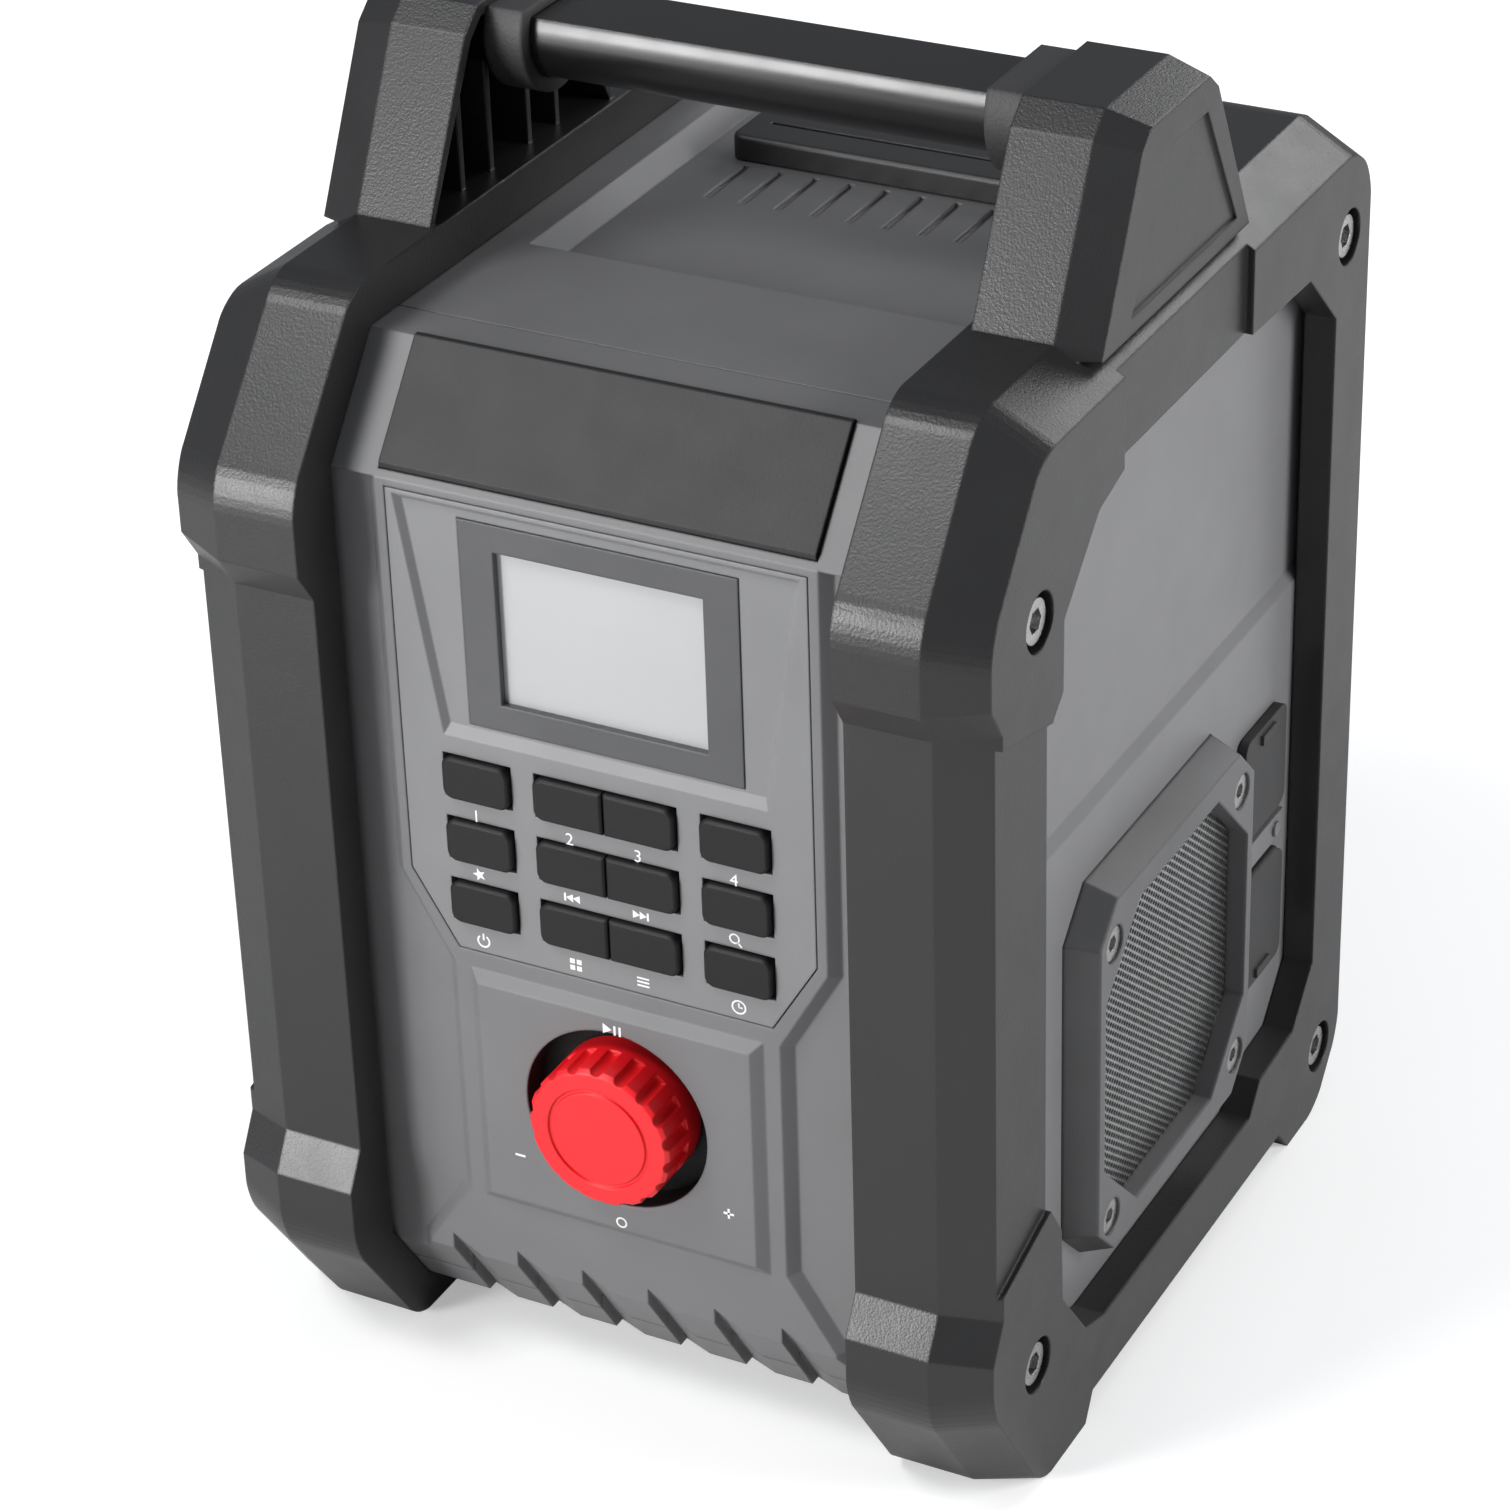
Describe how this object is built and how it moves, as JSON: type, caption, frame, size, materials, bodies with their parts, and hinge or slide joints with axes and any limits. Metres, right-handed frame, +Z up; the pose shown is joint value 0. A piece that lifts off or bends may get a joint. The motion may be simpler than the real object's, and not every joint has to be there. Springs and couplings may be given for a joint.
{
  "type": "jobsite radio",
  "caption": "Rugged portable jobsite radio: grey cased body between two black side cages, tube handle on top, display, keypad and red push knob in front, square speaker grilles at the sides.",
  "frame": {"origin": "middle of the bounding box's bottom, on the surface that the feet stand on", "axes": "+Z up, -Y towards the front with the display, +X towards the right side seen from the front"},
  "size_m": [0.192, 0.216, 0.307],
  "materials": {
    "cage_plastic": "fine textured black plastic",
    "collar_rubber": "matt soft-touch rubber",
    "handle_black": "satin black coated tube",
    "body_grey": "satin mid-grey plastic",
    "label_black": "grained black plastic",
    "bezel_grey": "smooth dark grey",
    "display_pane": "clear pane over a light grey screen",
    "inner_black": "matt black",
    "board_green": "coated board",
    "key_rubber": "matt black rubber",
    "knob_red": "satin red",
    "shaft_steel": "turned steel",
    "latch_black": "satin black",
    "mesh_steel": "perforated steel sheet",
    "gasket_foam": "foam",
    "driver_steel": "black pressed steel",
    "cone_paper": "black coated paper",
    "screw_steel": "zinc plated",
    "clip_grey": "satin grey",
    "contact_brass": "plain"
  },
  "bodies": {
    "case": {"antenna_strip": "contact_brass", "battery_bay": "inner_black", "bezel_screws": "screw_steel", "board_screws": "screw_steel", "cage_left": "cage_plastic", "cage_right": "cage_plastic", "cage_screws": "screw_steel", "control_board": "board_green", "control_panel": "body_grey", "display_bezel": "bezel_grey", "display_glass": "display_pane", "display_module": "inner_black", "door_pin": "shaft_steel", "driver_screws": "screw_steel", "encoder_body": "inner_black", "front_fascia": "body_grey", "handle_collar_left": "collar_rubber", "handle_collar_right": "collar_rubber", "handle_tube": "handle_black", "jack_board": "inner_black", "keypad_mat": "key_rubber", "label_plate": "label_black", "main_board": "board_green", "main_shell": "body_grey", "port_clip": "clip_grey", "rear_panel": "body_grey", "speaker_bezel_left": "latch_black", "speaker_bezel_right": "latch_black", "speaker_cone_left": "cone_paper", "speaker_cone_right": "cone_paper", "speaker_driver_left": "driver_steel", "speaker_driver_right": "driver_steel", "speaker_gasket_left": "gasket_foam", "speaker_gasket_right": "gasket_foam", "speaker_mesh_left": "mesh_steel", "speaker_mesh_right": "mesh_steel", "terminal_blades": "contact_brass", "terminal_block": "inner_black", "top_lid": "body_grey"},
    "knob_shaft": {"encoder_shaft": "shaft_steel"},
    "knob": {"knob": "knob_red"},
    "door": {"battery_door": "body_grey"},
    "latch": {"top_latch": "latch_black"},
    "upper_cover": {"port_cover_upper": "key_rubber"},
    "lower_cover": {"port_cover_lower": "key_rubber"},
    "key_01": {"key_01": "key_rubber"},
    "key_02": {"key_02": "key_rubber"},
    "key_03": {"key_03": "key_rubber"},
    "key_04": {"key_04": "key_rubber"},
    "key_05": {"key_05": "key_rubber"},
    "key_06": {"key_06": "key_rubber"},
    "key_07": {"key_07": "key_rubber"},
    "key_08": {"key_08": "key_rubber"},
    "key_09": {"key_09": "key_rubber"},
    "key_10": {"key_10": "key_rubber"},
    "key_11": {"key_11": "key_rubber"},
    "key_12": {"key_12": "key_rubber"}
  },
  "joints": [
    {"name": "knob_push", "type": "slide", "parent": "case", "child": "knob_shaft", "axis": [0, 1, 0], "range_m": [0, 0.0008], "stiffness_N_per_m": 2500, "springref_m": -0.0004},
    {"name": "knob_turn", "type": "hinge", "parent": "knob_shaft", "child": "knob", "pos_m": [0, -0.1025, 0.0815], "axis": [0, 1, 0], "continuous": true},
    {"name": "door_swing", "type": "hinge", "parent": "case", "child": "door", "pos_m": [0, 0.1011, 0.0585], "axis": [-1, 0, 0], "range_deg": [0, 100]},
    {"name": "latch_slide", "type": "slide", "parent": "case", "child": "latch", "axis": [0, -1, 0], "range_m": [0, 0.01], "stiffness_N_per_m": 250, "springref_m": -0.002},
    {"name": "upper_cover_flip", "type": "hinge", "parent": "case", "child": "upper_cover", "pos_m": [0.08945, 0.0615, 0.097], "axis": [0, 1, 0], "range_deg": [0, 90]},
    {"name": "lower_cover_flip", "type": "hinge", "parent": "case", "child": "lower_cover", "pos_m": [0.08945, 0.0615, 0.084], "axis": [0, -1, 0], "range_deg": [0, 90]},
    {"name": "key_01_press", "type": "slide", "parent": "case", "child": "key_01", "axis": [0, 1, 0], "range_m": [0, 0.0008], "stiffness_N_per_m": 900, "springref_m": -0.0003},
    {"name": "key_02_press", "type": "slide", "parent": "case", "child": "key_02", "axis": [0, 1, 0], "range_m": [0, 0.0008], "stiffness_N_per_m": 900, "springref_m": -0.0003},
    {"name": "key_03_press", "type": "slide", "parent": "case", "child": "key_03", "axis": [0, 1, 0], "range_m": [0, 0.0008], "stiffness_N_per_m": 900, "springref_m": -0.0003},
    {"name": "key_04_press", "type": "slide", "parent": "case", "child": "key_04", "axis": [0, 1, 0], "range_m": [0, 0.0008], "stiffness_N_per_m": 900, "springref_m": -0.0003},
    {"name": "key_05_press", "type": "slide", "parent": "case", "child": "key_05", "axis": [0, 1, 0], "range_m": [0, 0.0008], "stiffness_N_per_m": 900, "springref_m": -0.0003},
    {"name": "key_06_press", "type": "slide", "parent": "case", "child": "key_06", "axis": [0, 1, 0], "range_m": [0, 0.0008], "stiffness_N_per_m": 900, "springref_m": -0.0003},
    {"name": "key_07_press", "type": "slide", "parent": "case", "child": "key_07", "axis": [0, 1, 0], "range_m": [0, 0.0008], "stiffness_N_per_m": 900, "springref_m": -0.0003},
    {"name": "key_08_press", "type": "slide", "parent": "case", "child": "key_08", "axis": [0, 1, 0], "range_m": [0, 0.0008], "stiffness_N_per_m": 900, "springref_m": -0.0003},
    {"name": "key_09_press", "type": "slide", "parent": "case", "child": "key_09", "axis": [0, 1, 0], "range_m": [0, 0.0008], "stiffness_N_per_m": 900, "springref_m": -0.0003},
    {"name": "key_10_press", "type": "slide", "parent": "case", "child": "key_10", "axis": [0, 1, 0], "range_m": [0, 0.0008], "stiffness_N_per_m": 900, "springref_m": -0.0003},
    {"name": "key_11_press", "type": "slide", "parent": "case", "child": "key_11", "axis": [0, 1, 0], "range_m": [0, 0.0008], "stiffness_N_per_m": 900, "springref_m": -0.0003},
    {"name": "key_12_press", "type": "slide", "parent": "case", "child": "key_12", "axis": [0, 1, 0], "range_m": [0, 0.0008], "stiffness_N_per_m": 900, "springref_m": -0.0003}
  ]
}
